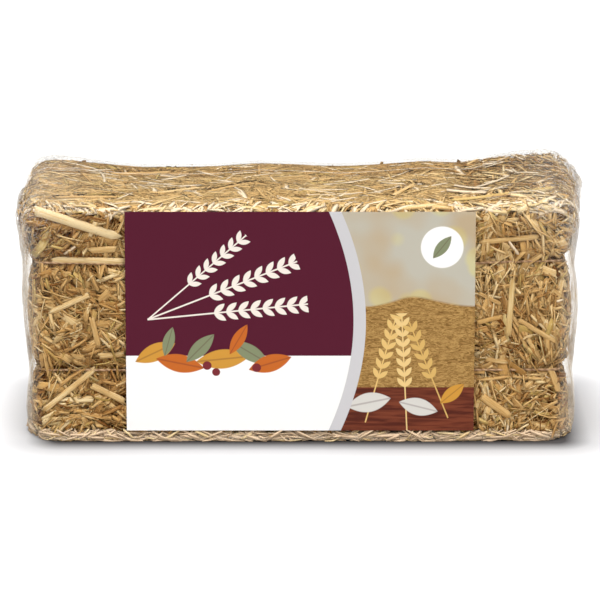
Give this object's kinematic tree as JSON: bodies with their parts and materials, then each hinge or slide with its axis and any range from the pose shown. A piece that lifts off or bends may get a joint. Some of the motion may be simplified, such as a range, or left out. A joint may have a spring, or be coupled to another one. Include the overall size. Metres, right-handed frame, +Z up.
{
  "type": "straw bale",
  "caption": "Small decorative bale of pressed chopped straw, tied with thin strings, shrink-wrapped in clear film, with a rectangular printed label on its front.",
  "frame": {"origin": "centre of the footprint, on the surface that the bale rests on", "axes": "+X along the bale's length, to the right as seen from the labelled front; +Y from the labelled front to the back; +Z up"},
  "size_m": [0.33, 0.1268, 0.1519],
  "materials": {
    "pressed_straw": "chopped golden straw, pressed, matt to satin",
    "straw_stems": "pale golden straw stems, satin",
    "string_thread": "thin twisted thread",
    "clear_film": "clear glossy shrink film, a plastic",
    "printed_label": "printed paper, satin"
  },
  "bodies": {
    "root": {"straw_block": "pressed_straw", "binding_string_lower": "string_thread", "binding_string_upper": "string_thread", "film_wrap": "clear_film", "label": "printed_label", "straw_stem_01": "straw_stems", "straw_stem_02": "straw_stems", "straw_stem_03": "straw_stems", "straw_stem_04": "straw_stems", "straw_stem_05": "straw_stems", "straw_stem_06": "straw_stems", "straw_stem_07": "straw_stems", "straw_stem_08": "straw_stems", "straw_stem_09": "straw_stems", "straw_stem_10": "straw_stems", "straw_stem_11": "straw_stems", "straw_stem_12": "straw_stems", "straw_stem_13": "straw_stems", "straw_stem_14": "straw_stems", "straw_stem_15": "straw_stems", "straw_stem_16": "straw_stems", "straw_stem_17": "straw_stems", "straw_stem_18": "straw_stems", "straw_stem_19": "straw_stems", "straw_stem_20": "straw_stems", "straw_stem_21": "straw_stems", "straw_stem_22": "straw_stems", "straw_stem_23": "straw_stems", "straw_stem_24": "straw_stems", "straw_stem_25": "straw_stems", "straw_stem_26": "straw_stems", "straw_stem_27": "straw_stems", "straw_stem_28": "straw_stems", "straw_stem_29": "straw_stems", "straw_stem_30": "straw_stems", "straw_stem_31": "straw_stems", "straw_stem_32": "straw_stems", "straw_stem_33": "straw_stems", "straw_stem_34": "straw_stems", "straw_stem_35": "straw_stems"}
  },
  "joints": []
}
